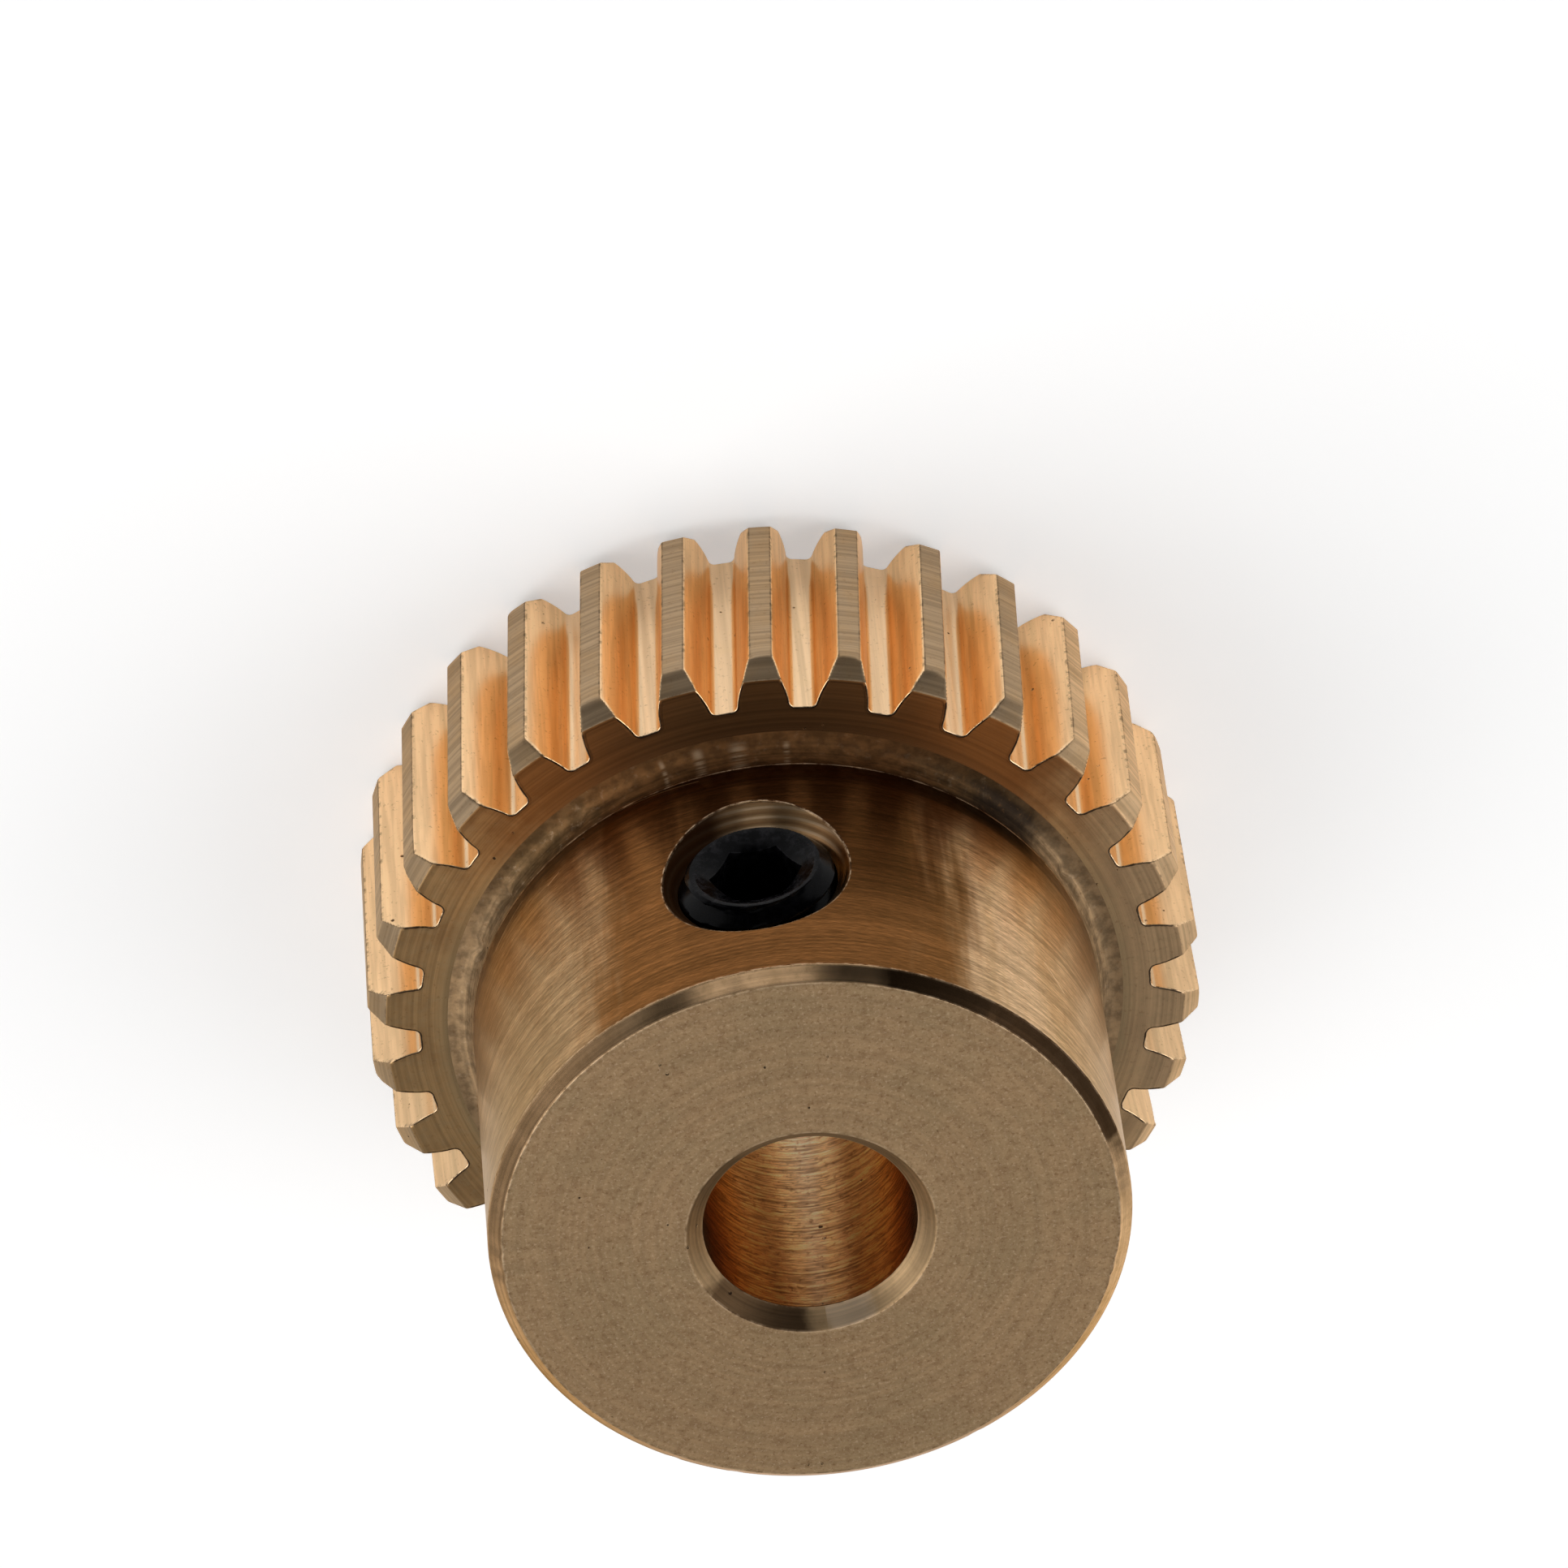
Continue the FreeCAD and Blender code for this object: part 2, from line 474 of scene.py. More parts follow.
def hole_thread(reach, angles):
    return helix(reach, angles, thread_minor_radius, thread_radius, 0.15)


def window_rays(skin, loop):
    """Angle and distance of a window's edge points from the screw's axis."""
    points = np.array([skin.points[index] for index in loop])
    across = points[:, 0]
    up = points[:, 2] - screw_height
    return np.unwrap(np.arctan2(up, across)), np.hypot(across, up)


def mouth_radius(angles):
    """Where the countersink cuts the hub's surface."""
    apex = hub_radius - countersink_radius
    cosine = np.cos(angles)
    a = 1 + cosine ** 2
    return (-apex + np.sqrt(apex ** 2 - a * (apex ** 2 - hub_radius ** 2))) / a


def add_screw_hole(skin, hub_loop, bore_loop):
    hub_angles, hub_reach = window_rays(skin, hub_loop)
    bore_angles, bore_reach = window_rays(skin, bore_loop)
    apex = hub_radius - countersink_radius
    mouth = mouth_radius(hub_angles)

    def surface(radius):
        on_hub = np.sqrt(hub_radius ** 2 - (radius * np.cos(hub_angles)) ** 2)
        return soft_min(on_hub, apex + radius, 0.03)

    row = hub_loop
    for share in (0.7, 0.45, 0.25, 0.12, 0.06):
        edge = mouth + mouth_edge_reach
        radius = edge + (hub_reach - edge) * share
        row = skin.grow(row, hole_point(surface(radius), radius, hub_angles), TURNED)
    for offset in (0.05, 0.03, 0.018, 0.008, 0.0, -0.008, -0.018, -0.03, -0.05):
        radius = mouth + offset
        row = skin.grow(row, hole_point(surface(radius), radius, hub_angles),
                        TURNED if offset >= 0 else MOUTH, 1.0 if abs(offset) < 0.02 else 0.0)
    for share in (0.8, 0.6, 0.4, 0.2, 0.05, 0.0):
        radius = thread_radius + (mouth - mouth_edge_reach - thread_radius) * share
        row = skin.grow(row, hole_point(apex + radius, radius, hub_angles), MOUTH)
    neck = apex + thread_radius
    for share in (0.02, 0.3, 0.65, 1.0):
        reach = neck + (threaded_from + 0.5 - neck) * share
        angles = hub_angles + (bore_angles - hub_angles) * share
        row = skin.grow(row, hole_point(reach, thread_radius, angles), MOUTH)
    inside = np.full(len(bore_angles), 1.0)
    outside = np.full(len(bore_angles), bore_radius + 0.2)
    for _ in range(HALVINGS):
        middle = (inside + outside) / 2
        across = hole_thread(middle, bore_angles) * np.cos(bore_angles)
        in_metal = across ** 2 + middle ** 2 > bore_radius ** 2
        outside = np.where(in_metal, middle, outside)
        inside = np.where(in_metal, inside, middle)
    for step in range(HOLE_THREAD_STEPS + 1):
        reach = threaded_from + (outside - threaded_from) * step / HOLE_THREAD_STEPS
        radius = hole_thread(reach, bore_angles)
        row = skin.grow(row, hole_point(reach, radius, bore_angles), MOUTH,
                        1.0 if step == HOLE_THREAD_STEPS else 0.0)
    edge = hole_thread(outside, bore_angles)
    for share in (0.04, 0.15, 0.4, 0.7):
        radius = edge + (bore_reach - edge) * share
        reach = np.sqrt(bore_radius ** 2 - (radius * np.cos(bore_angles)) ** 2)
        row = skin.grow(row, hole_point(reach, radius, bore_angles), BORE)
    skin.strip(row, bore_loop, BORE)


# Small dents and nicks, each a shallow hollow pressed into an edge

NICK_SEED = 11
HUB_NICKS = 14
TOOTH_NICKS = 2
ROOT_DENTS = (-37.6, -25.0, -58.0, -112.0, -158.0)  # azimuths on the hub's root
ROOT_DENT_PLACE = 0.12  # of their centres, out of the hub and above the rim


def nick_places():
    """(centre, radius, depth) of the nicks, in millimetres."""
    chance = random.Random(NICK_SEED)
    nicks = []

    def add(reach, angle, height, radii, depths):
        centre = (reach * math.cos(angle), reach * math.sin(angle), height)
        nicks.append((centre, chance.uniform(*radii), chance.uniform(*depths)))

    for _ in range(HUB_NICKS):
        angle = chance.uniform(0, 2 * math.pi)
        low = chance.random() < 0.4
        reach = hub_radius if low else hub_radius - hub_chamfer
        height = total_length - hub_chamfer if low else total_length
        add(reach, angle, height, (0.08, 0.2), (0.008, 0.025))
    for azimuth in ROOT_DENTS:
        add(hub_radius + ROOT_DENT_PLACE, math.radians(azimuth),
            rim_width + ROOT_DENT_PLACE, (0.2, 0.26), (0.05, 0.07))
    for tooth in range(tooth_count):
        for _ in range(TOOTH_NICKS):
            edge = chance.choice((-1, 1)) * gap_half_angle(tip_radius)
            gap = math.radians(gap_direction + 360 / tooth_count * tooth)
            height = chance.choice((0.3, 0.4, 2.0, 4.6, 4.7)) + chance.uniform(-0.1, 0.1)
            add(tip_radius, gap + edge + tooth_twist(height), height,
                (0.07, 0.16), (0.01, 0.035))
    return nicks


def press_nicks(skin):
    points = np.array(skin.points)
    for centre, radius, depth in nick_places():
        centre = np.array(centre)
        distance = np.linalg.norm(points - centre, axis=1)
        near = distance < radius
        inward = -centre / np.linalg.norm(centre[:2])
        inward[2] = -0.7 if centre[2] > rim_width else 0.0
        share = (1 - (distance[near] / radius) ** 2) ** 2
        points[near] += share[:, None] * depth * inward
    skin.points = [tuple(point) for point in points]


def worm_wheel(materials):
    skin = Skin()
    back_edge, front_edge = add_rim(skin)
    front = add_face_edge(skin, front_edge, rim_width)
    back = add_face_edge(skin, back_edge, 0.0)
    section, kinds = hub_section()
    hub_rows, hub_loop = add_turned(skin, section, kinds, HUB_COLUMNS, HUB_WINDOW)
    section, kinds = bore_section()
    bore_rows, bore_loop = add_turned(skin, section, kinds, BORE_COLUMNS, BORE_WINDOW)
    inner_back = skin.row(ring(back_ring, 0.0, HUB_COLUMNS))
    outer_back = skin.row(ring(rim_ring, 0.0, HUB_COLUMNS))
    plain = skin.row(ring(rim_ring, rim_width, HUB_COLUMNS))
    skin.zipper(front, plain, RIM_FACE)
    skin.strip(plain, hub_rows[0], RIM_FACE)
    skin.zipper(hub_rows[-1], bore_rows[0], FACED)
    skin.zipper(bore_rows[-1], inner_back, FACED)
    skin.strip(inner_back, outer_back, FACED)
    skin.zipper(outer_back, back, RIM_FACE)
    add_screw_hole(skin, hub_loop, bore_loop)
    press_nicks(skin)
    return skin.make("worm_wheel_brass", materials, 40)


# Grub screw

SCREW_COLUMNS = 144
SCREW_ROWS_PER_PITCH = 16
SCREW_HIGHLIT_SIDE = math.radians(100)  # direction of the socket cone's side where a painted highlight is carried as wear


def screw_thread(reach, angles):
    """Radius of the screw's thread, with its point and head chamfered."""
    radius = helix(reach, angles, screw_root_radius, screw_crest_radius, 0.12)
    point = screw_crest_radius - screw_point_chamfer + (reach - screw_point_reach)
    head = screw_crest_radius - screw_head_chamfer + (screw_head_reach - reach)
    return np.minimum(radius, min(point, head))


def grub_screw(materials):
    skin = Skin()
    angles = 2 * math.pi * np.arange(SCREW_COLUMNS) / SCREW_COLUMNS
    length = screw_head_reach - screw_point_reach
    steps = round(length / thread_pitch * SCREW_ROWS_PER_PITCH)
    reaches = screw_point_reach + length * np.arange(steps + 1) / steps
    rows = [skin.row(hole_point(reach, screw_thread(reach, angles), angles),
                     0.6 if reach in (reaches[0], reaches[-1]) else 0.0) for reach in reaches]
    for lower, upper in zip(rows, rows[1:]):
        skin.strip(lower, upper, 0)
    away = (np.degrees(angles) % 60) - 30
    flat = socket_apothem / np.cos(np.radians(away))
    mouth = screw_head_reach - (socket_cone_radius - flat) * socket_cone_slope
    floor_reach = screw_head_reach - socket_depth
    # Painted highlight on one side of the socket's cone, carried as wear
    rubbed_and_highlit = 0.7 * (np.cos(angles - SCREW_HIGHLIT_SIDE) > 0.6)
    socket = (
        (screw_head_reach - 0.003, socket_cone_radius + 0.02, 0.8),
        (screw_head_reach - 0.012, socket_cone_radius - 0.01, 0.8),
        (mouth + 0.012, flat + 0.03, rubbed_and_highlit),
        (mouth - 0.002, flat + 0.005, 1.0),
        (mouth - 0.02, flat, 0.2),
        (floor_reach, flat, 0.0),
        (floor_reach, socket_apothem - 0.01, 0.0),
    )
    row = rows[-1]
    for reach, radius, worn in socket:
        row = skin.grow(row, hole_point(reach, radius, angles), 0, worn)
    skin.fan(row, (0.0, -(floor_reach - socket_tip_depth), screw_height), 0)
    cup = skin.row(hole_point(screw_point_reach, cup_radius, angles))
    skin.strip(cup, rows[0], 0)
    skin.fan(cup, (0.0, -(screw_point_reach + cup_depth), screw_height), 0)
    return skin.make("grub_screw_steel", materials, 30)


# Materials

class Nodes:
    """Short way to add and join shader nodes."""

    def __init__(self, tree):
        self.tree = tree

    def feed(self, node, name, value):
        """Links or sets an input, which is given by its name or number."""
        socket = node.inputs[name]
        if isinstance(value, bpy.types.NodeSocket):
            self.tree.links.new(value, socket)
        elif socket.type == "RGBA":
            socket.default_value = (*value, 1)
        else:
            socket.default_value = value

    def add(self, kind, settings=None, **inputs):
        node = self.tree.nodes.new("ShaderNode" + kind)
        for name, value in (settings or {}).items():
            setattr(node, name, value)
        for name, value in inputs.items():
            self.feed(node, name.replace("_", " "), value)
        return node

    def math(self, operation, *values, clamp=False):
        node = self.add("Math", {"operation": operation, "use_clamp": clamp})
        for index, value in enumerate(values):
            self.feed(node, index, value)
        return node.outputs[0]

    def times(self, first, *others):
        """Product of the values."""
        for other in others:
            first = self.math("MULTIPLY", first, other)
        return first

    def vector(self, operation, *values, output="Vector"):
        node = self.add("VectorMath", {"operation": operation})
        for index, value in enumerate(values):
            self.feed(node, index, value)
        return node.outputs[output]

    def coordinate(self, vector, axis):
        return self.add("SeparateXYZ", Vector=vector).outputs[axis]

    def combine(self, **coordinates):
        return self.add("CombineXYZ", **coordinates).outputs[0]

    def millimetres(self):
        """Place on the object, in millimetres."""
        place = self.add("TexCoord").outputs["Object"]
        return self.vector("MULTIPLY", place, (1000, 1000, 1000))

    def noise(self, place, scale, detail=3, roughness=0.55):
        return self.add("TexNoise", Vector=place, Scale=scale, Detail=detail,
                        Roughness=roughness).outputs["Fac"]

    def ramp(self, value, low, high, high_to=1, low_to=0):
        """Moves a value smoothly from between two limits to between two others."""
        return self.add("MapRange", {"interpolation_type": "SMOOTHSTEP"}, Value=value,
                        From_Min=low, From_Max=high, To_Min=low_to,
                        To_Max=high_to).outputs["Result"]

    def mix(self, share, first, second):
        node = self.add("Mix", {"data_type": "RGBA"})
        for index, value in ((0, share), (6, first), (7, second)):
            self.feed(node, index, value)
        return node.outputs[2]

    def edge_wear(self):
        """The wear that the skin's points carry."""
        return self.add("Attribute", {"attribute_name": "edge_wear"}).outputs["Fac"]


class Material(Nodes):
    """Material with one shader, and the nodes that feed it."""

    def __init__(self, name):
        self.material = bpy.data.materials.new(name)
        self.material.use_nodes = True
        super().__init__(self.material.node_tree)
        self.shader = self.tree.nodes["Principled BSDF"]

    def set(self, name, value):
        self.feed(self.shader, name, value)

    def lift(self, height, distance):
        bump = self.add("Bump", Height=height, Distance=distance, Strength=1)
        self.set("Normal", bump.outputs["Normal"])


BRASS_FRESH = (0.93, 0.62, 0.34)
BRASS_ORANGE = (0.77, 0.54, 0.29)
# Red-brown used as a painted dark reflection, partly stain
BROWN_STAIN_AND_PAINTED_REFLECTION = (0.17, 0.066, 0.019)
BRASS_PAINTED_HIGHLIGHT = (0.6, 0.42, 0.26)
BRASS_PALE = (0.8, 0.6, 0.4)
BRASS_PAINTED_HIGHLIGHT_PINK = (0.84, 0.68, 0.56)
BRASS_BORE = (0.92, 0.6, 0.33)
BRASS_TURNED = (0.43, 0.258, 0.122)
BRASS_FACED = (0.46, 0.305, 0.165)
BRASS_RIM = (0.44, 0.27, 0.122)
BRASS_OLIVE = (0.36, 0.265, 0.145)
BRASS_LAND = (0.4, 0.285, 0.175)
BRASS_ROOT = (0.19, 0.112, 0.048)
BRASS_PAINTED_SHADE_DULL = (0.48, 0.35, 0.22)
BRASS_PAINTED_SHADE = (0.25, 0.175, 0.105)
BRASS_PAINTED_GREY_SHADE = (0.25, 0.205, 0.165)
BRASS_CHAMFER = (0.84, 0.54, 0.29)
TARNISH = (0.19, 0.09, 0.035)
# Near black red-brown: painted shade and painted dark reflection, partly stain
STAIN_AND_PAINTED_SHADE = (0.032, 0.01, 0.003)
SOOT = (0.02, 0.013, 0.01)
STEEL_BLACK = (0.0012, 0.0012, 0.0016)
STEEL_GREY = (0.004, 0.004, 0.005)
STEEL_RUBBED_AND_HIGHLIGHT = (0.045, 0.042, 0.047)
FLOOR_WHITE = (0.82, 0.82, 0.82)
WHITE = (1, 1, 1)

# Tints of the brass where it is seen at a low angle
TINT_PALE = (1, 0.85, 0.68)
TINT_WARM = (1, 0.8, 0.58)
TINT_DARK = (0.5, 0.41, 0.32)

BEARING_WOBBLE = 26  # degrees that the streaky borders run out and in
SCRATCH_WIDTH = 0.022
MOUTH_RING_STEP = 0.13  # between the turning rings in the screw hole's mouth

# (bearing, reach, share) of the painted pale highlights along the hub
HUB_PAINTED_HIGHLIGHTS = ((36, 6, 0.15), (-51, 7, 0.9), (-39, 3, 0.6), (-75, 12, 0.5))

# Both (bearing, height) ends of the scratches on the hub
HUB_SCRATCHES = (((59.8, 5.84), (49.1, 5.67)), ((41.4, 6.08), (38.5, 6)),
                 ((24.4, 5.42), (8.4, 5.51)), ((-62, 9.6), (-57, 9.2)))

# (bearing, reach) of the painted glints on the hub's root
ROOT_PAINTED_GLINTS = ((7.5, 1.4), (0.5, 2.2), (-8, 0.9), (14, 0.7))


class Brass(Material):
    """Material of one cut surface: its colour, tool marks, specks and pits.

    A bearing is the azimuth from the screw's direction, in degrees, growing toward +X."""

    def __init__(self, name, colour, roughness, anisotropy=0, rotation=0.25,
                 edge_tint=TINT_PALE):
        super().__init__("brass_" + name)
        self.place = self.millimetres()
        self.colour = colour
        self.roughness = roughness
        self.height = 0
        tangent = self.add("Tangent", {"direction_type": "RADIAL", "axis": "Z"})
        self.set("Tangent", tangent.outputs["Tangent"])
        self.set("Metallic", 1)
        self.set("Specular Tint", edge_tint)
        self.set("Anisotropic", anisotropy)
        self.set("Anisotropic Rotation", rotation)

    def along(self, axis):
        return self.coordinate(self.place, axis)

    def radius(self):
        """Distance from the wheel's axis."""
        return self.vector("LENGTH", self.stretched(1, 1, 0), output="Value")

    def bearing(self):
        front = self.times(self.along("Y"), -1)
        angle = self.math("ARCTAN2", self.along("X"), front)
        return self.times(angle, math.degrees(1))

    def aside(self):
        """Degrees to either side of the screw's direction."""
        return self.math("ABSOLUTE", self.bearing())

    def not_behind(self):
        """1 on the screw's side and beside it, fading to 0 on the far side."""
        return self.ramp(self.aside(), 165, 105)

    def near_bearing(self, bearing, reach, blend):
        """1 within the reach of a bearing, with a streaky border."""
        axial = self.stretched(1, 1, 0.12)
        wobble = self.math("MULTIPLY_ADD", self.noise(axial, 1.2, 4, 0.6),
                           BEARING_WOBBLE, -BEARING_WOBBLE / 2)
        place = self.math("ADD", self.bearing(), wobble)
        away = self.math("ABSOLUTE", self.math("SUBTRACT", place, bearing))
        return self.ramp(away, reach + blend, reach - blend)

    def stretched(self, x, y, z):
        return self.vector("MULTIPLY", self.place, (x, y, z))

    def along_turning(self):
        """Place for noise in lines round the axis, each at its own height."""
        return self.stretched(0.008, 0.008, 1)

    def along_facing(self):
        """Place for noise in lines round the axis, each at its own radius."""
        line = self.combine(Z=self.radius())
        return self.vector("ADD", self.stretched(0.008, 0.008, 0), line)

    def along_teeth(self):
        """Place for noise in lines along the teeth."""
        return self.stretched(1, 1, 0.02)

    def round_screw(self):
        """Place for noise in rings round the screw's axis."""
        local = self.vector("SUBTRACT", self.place, (0, 0, screw_height))
        flat = self.vector("MULTIPLY", local, (1, 0, 1))
        line = self.combine(Y=self.vector("LENGTH", flat, output="Value"))
        return self.vector("ADD", self.stretched(0.05, 0, 0.05), line)

    def unrolled(self):
        """Hub laid flat: along its circumference and its height, in millimetres."""
        along = self.times(self.bearing(), math.radians(hub_radius))
        return self.combine(X=along, Y=self.along("Z"))

    def blend(self, colour, *shares):
        """Mixes in a colour, by the product of the shares."""
        self.colour = self.mix(self.times(*shares), self.colour, colour)

    def raise_by(self, share, amount):
        self.height = self.math("ADD", self.height, self.times(share, amount))

    def roughen(self, share, amount):
        more = self.times(share, amount)
        self.roughness = self.math("ADD", self.roughness, more)

    def clouds(self, scale, share, colour, low=0.4, high=0.7, detail=4, roughness=0.6):
        grain = self.noise(self.place, scale, detail, roughness)
        self.blend(colour, self.ramp(grain, low, high, share))

    def specks(self, scale, share, colour, low=0.58, high=0.7):
        self.clouds(scale, share, colour, low, high, 3, 0.65)

    def marks(self, scale, depth, dark, light, place=None, detail=3):
        """Tool marks: grooves of a depth in mm, their bottoms darker and crests lighter.

        They run round the axis, unless another place is given for their noise."""
        lines = self.noise(place or self.along_turning(), scale, detail, 0.6)
        self.raise_by(lines, depth)
        factor = self.ramp(lines, 0.34, 0.66, 1 + light, 1 - dark)
        self.colour = self.vector("MULTIPLY", self.colour, factor)

    def hatch(self, angle, scale, depth, dark, light):
        """Fine short scratches on the hub, turned from its circumference by an angle."""
        turned = self.add("VectorRotate", {"rotation_type": "Z_AXIS"},
                          Vector=self.unrolled(), Angle=math.radians(angle))
        short = self.vector("MULTIPLY", turned.outputs["Vector"], (0.14, 1, 1))
        self.marks(scale, depth, dark, light, short)

    def pit(self, cell, size):
        """A few small round pits with ragged edges."""
        cells = self.add("TexVoronoi", Vector=self.place, Scale=1 / cell, Randomness=1)
        few = self.ramp(self.noise(self.place, 1.3, 1), 0.5, 0.66)
        inside = self.math("SUBTRACT", self.times(few, size / cell), cells.outputs["Distance"])
        ragged = self.ramp(self.noise(self.place, 14, 2), 0.38, 0.55)
        spots = self.times(self.ramp(inside, 0, 0.03), ragged)
        self.blend(SOOT, spots, 0.85)
        self.raise_by(spots, -0.01)
        self.roughen(spots, 0.3)

    def stain_and_painted_reflection(self, share, low, high):
        """Red-brown tone on the screw's side, fading toward the hub's end: partly stain,
        mostly a painted dark reflection, with painted shade deepest near the rim and at the
        hub's foot.
        """
        height = self.along("Z")
        # Painted dark reflection on the screw's side, partly stain
        self.blend(BROWN_STAIN_AND_PAINTED_REFLECTION, self.near_bearing(-2, 34, 7), share)
        # Painted shade, deepest a little above the rim
        depth = self.times(self.ramp(height, 5.4, 7.2, 1, 0.65),
                           self.ramp(height, 8.4, 10.8, low, high))
        self.blend(STAIN_AND_PAINTED_SHADE, self.near_bearing(-10, 24, 7), depth)
        # Painted shade at the hub's foot, to the -X side of the screw
        foot = self.ramp(height, 5.4, 7.4, 0, high)
        self.blend(STAIN_AND_PAINTED_SHADE, self.near_bearing(-46, 16, 8), foot)

    def painted_highlight_streak(self, bearing, reach, share):
        """Painted pale highlight along the axis, growing toward the hub's end."""
        fade = self.ramp(self.along("Z"), 5.8, 9.5, share)
        self.blend(BRASS_PAINTED_HIGHLIGHT, self.near_bearing(bearing, reach, reach * 0.8), fade)

    def scratch(self, start, end):
        """Straight pale scratch between two (bearing, height) places on the hub."""
        first = Vector((math.radians(start[0]) * hub_radius, start[1], 0))
        run = Vector((math.radians(end[0]) * hub_radius, end[1], 0)) - first
        reach = self.vector("SUBTRACT", self.unrolled(), tuple(first))
        share = self.vector("DOT_PRODUCT", reach, tuple(run / run.length_squared),
                            output="Value")
        share = self.math("ADD", share, 0, clamp=True)
        on_line = self.combine(X=self.times(share, run.x), Y=self.times(share, run.y))
        away = self.vector("DISTANCE", reach, on_line, output="Value")
        near = self.ramp(away, SCRATCH_WIDTH, SCRATCH_WIDTH * 0.4, 0.8)
        self.blend(BRASS_PALE, near)

    def outline(self, dark):
        """Darker band along the edges, thin with thicker places."""
        grain = self.noise(self.place, 3.5, 4, 0.7)
        reach = self.math("ADD", self.edge_wear(), grain)
        self.blend(SOOT, self.ramp(reach, 1.03, 1.38, dark))

    def worn_edges(self, scale, dark, light):
        """Broken dark and rubbed light places along the edges."""
        grain = self.noise(self.place, scale, 4, 0.7)
        wear = self.edge_wear()
        self.blend(BRASS_PALE, wear, self.ramp(grain, 0.4, 0.6, light))
        self.blend(SOOT, wear, self.ramp(grain, 0.52, 0.36, dark))

    def done(self):
        self.set("Base Color", self.colour)
        self.set("Roughness", self.roughness)
        self.lift(self.height, MM)
        return self.material


def turned_brass():
    brass = Brass("turned", BRASS_TURNED, 0.29, 0.6, edge_tint=TINT_WARM)
    brass.clouds(0.7, 0.5, BRASS_OLIVE)
    brass.clouds(2.4, 0.35, TARNISH, 0.5, 0.75)
    for painted_highlight_streak in HUB_PAINTED_HIGHLIGHTS:
        brass.painted_highlight_streak(*painted_highlight_streak)
    # Painted shade on the hub's +X side, and painted grey dimming far to either side of the
    # screw
    painted_shade = brass.ramp(brass.bearing(), 15, 60, 0.85)
    brass.blend(BRASS_PAINTED_SHADE, painted_shade, brass.not_behind())
    painted_grey = brass.ramp(brass.aside(), 52, 76, 0.55)
    brass.blend(BRASS_PAINTED_GREY_SHADE, painted_grey, brass.not_behind())
    brass.specks(7, 0.25, BRASS_OLIVE, 0.5, 0.65)
    brass.clouds(5, 0.25, TARNISH, 0.5, 0.7)
    # Painted dark reflection and shade on the screw's side, partly stain
    brass.stain_and_painted_reflection(0.95, 0.2, 0.9)
    brass.marks(3, 0.0012, 0.12, 0.12)
    brass.marks(16, 0.0018, 0.22, 0.26)
    brass.hatch(12, 21, 0.0016, 0.17, 0.2)
    brass.hatch(-20, 26, 0.0012, 0.13, 0.14)
    for start, end in HUB_SCRATCHES:
        brass.scratch(start, end)
    brass.pit(0.5, 0.04)
    brass.worn_edges(4, 0.6, 0.4)
    return brass.done()


def root_brass():
    brass = Brass("root", BRASS_ROOT, 0.5, edge_tint=TINT_WARM)
    brass.set("Metallic", 0.3)
    brass.set("Specular IOR Level", 0.1)
    brass.clouds(0.9, 0.35, TARNISH)
    # Painted light: paler, face-coloured fillet far to either side of the screw
    brass.blend(BRASS_FACED, brass.ramp(brass.aside(), 42, 66, 0.9))
    brass.specks(6, 0.25, BRASS_PALE, 0.55, 0.75)
    # Painted dark reflection and shade on the screw's side, partly stain
    brass.stain_and_painted_reflection(0.65, 0, 0.4)
    brass.marks(12, 0.002, 0.35, 0.35)
    brass.marks(9, 0.004, 0.3, 0.25, brass.stretched(0.4, 0.4, 1))
    inner = brass.ramp(brass.radius(), 6.42, 6.25)
    # Painted shade: near black patch low on the fillet, to the -X side of the screw
    brass.blend(SOOT, inner, brass.near_bearing(-49, 8, 5), 0.85)
    # Painted glints on the fillet, broken by the turning lines
    glints = brass.ramp(brass.noise(brass.along_turning(), 22, 2), 0.42, 0.58)
    for bearing, reach in ROOT_PAINTED_GLINTS:
        away = brass.math("ABSOLUTE", brass.math("SUBTRACT", brass.bearing(), bearing))
        brass.blend(BRASS_PAINTED_HIGHLIGHT, brass.ramp(away, reach, 0), glints, inner, 0.5)
    brass.specks(8, 0.35, TARNISH)
    brass.pit(0.4, 0.05)
    return brass.done()


def faced_brass():
    brass = Brass("faced", BRASS_FACED, 0.5, 0.15)
    brass.clouds(0.7, 0.35, BRASS_OLIVE)
    brass.marks(9, 0.001, 0.07, 0.07, brass.along_facing())
    brass.specks(4.5, 0.3, TARNISH, 0.45, 0.68)
    brass.specks(13, 0.5, TARNISH, 0.5, 0.72)
    brass.specks(16, 0.4, BRASS_PALE, 0.52, 0.72)
    brass.pit(0.36, 0.04)
    brass.worn_edges(5, 0.3, 0.4)
    return brass.done()


def rim_face_brass():
    brass = Brass("rim_face", BRASS_RIM, 0.42, 0.35, edge_tint=TINT_WARM)
    brass.clouds(0.8, 0.4, TARNISH)
    # Painted light: paler rim face on the -X side
    brass.blend(BRASS_PAINTED_HIGHLIGHT, brass.ramp(brass.along("X"), -4.5, -7.2, 0.5))
    brass.blend(BRASS_OLIVE, brass.ramp(brass.radius(), 6.45, 6.8, 0, 0.6))
    brass.specks(5, 0.25, BRASS_OLIVE, 0.45, 0.65)
    # Painted dark reflection on the screw's side of the rim face, partly stain
    brass.blend(BROWN_STAIN_AND_PAINTED_REFLECTION, brass.near_bearing(-6, 52, 12), 0.82)
    brass.marks(3, 0.0015, 0.08, 0.08, brass.along_facing())
    brass.marks(14, 0.0018, 0.14, 0.14, brass.along_facing())
    brass.specks(9, 0.3, TARNISH)
    brass.pit(0.45, 0.04)
    brass.outline(0.9)
    return brass.done()


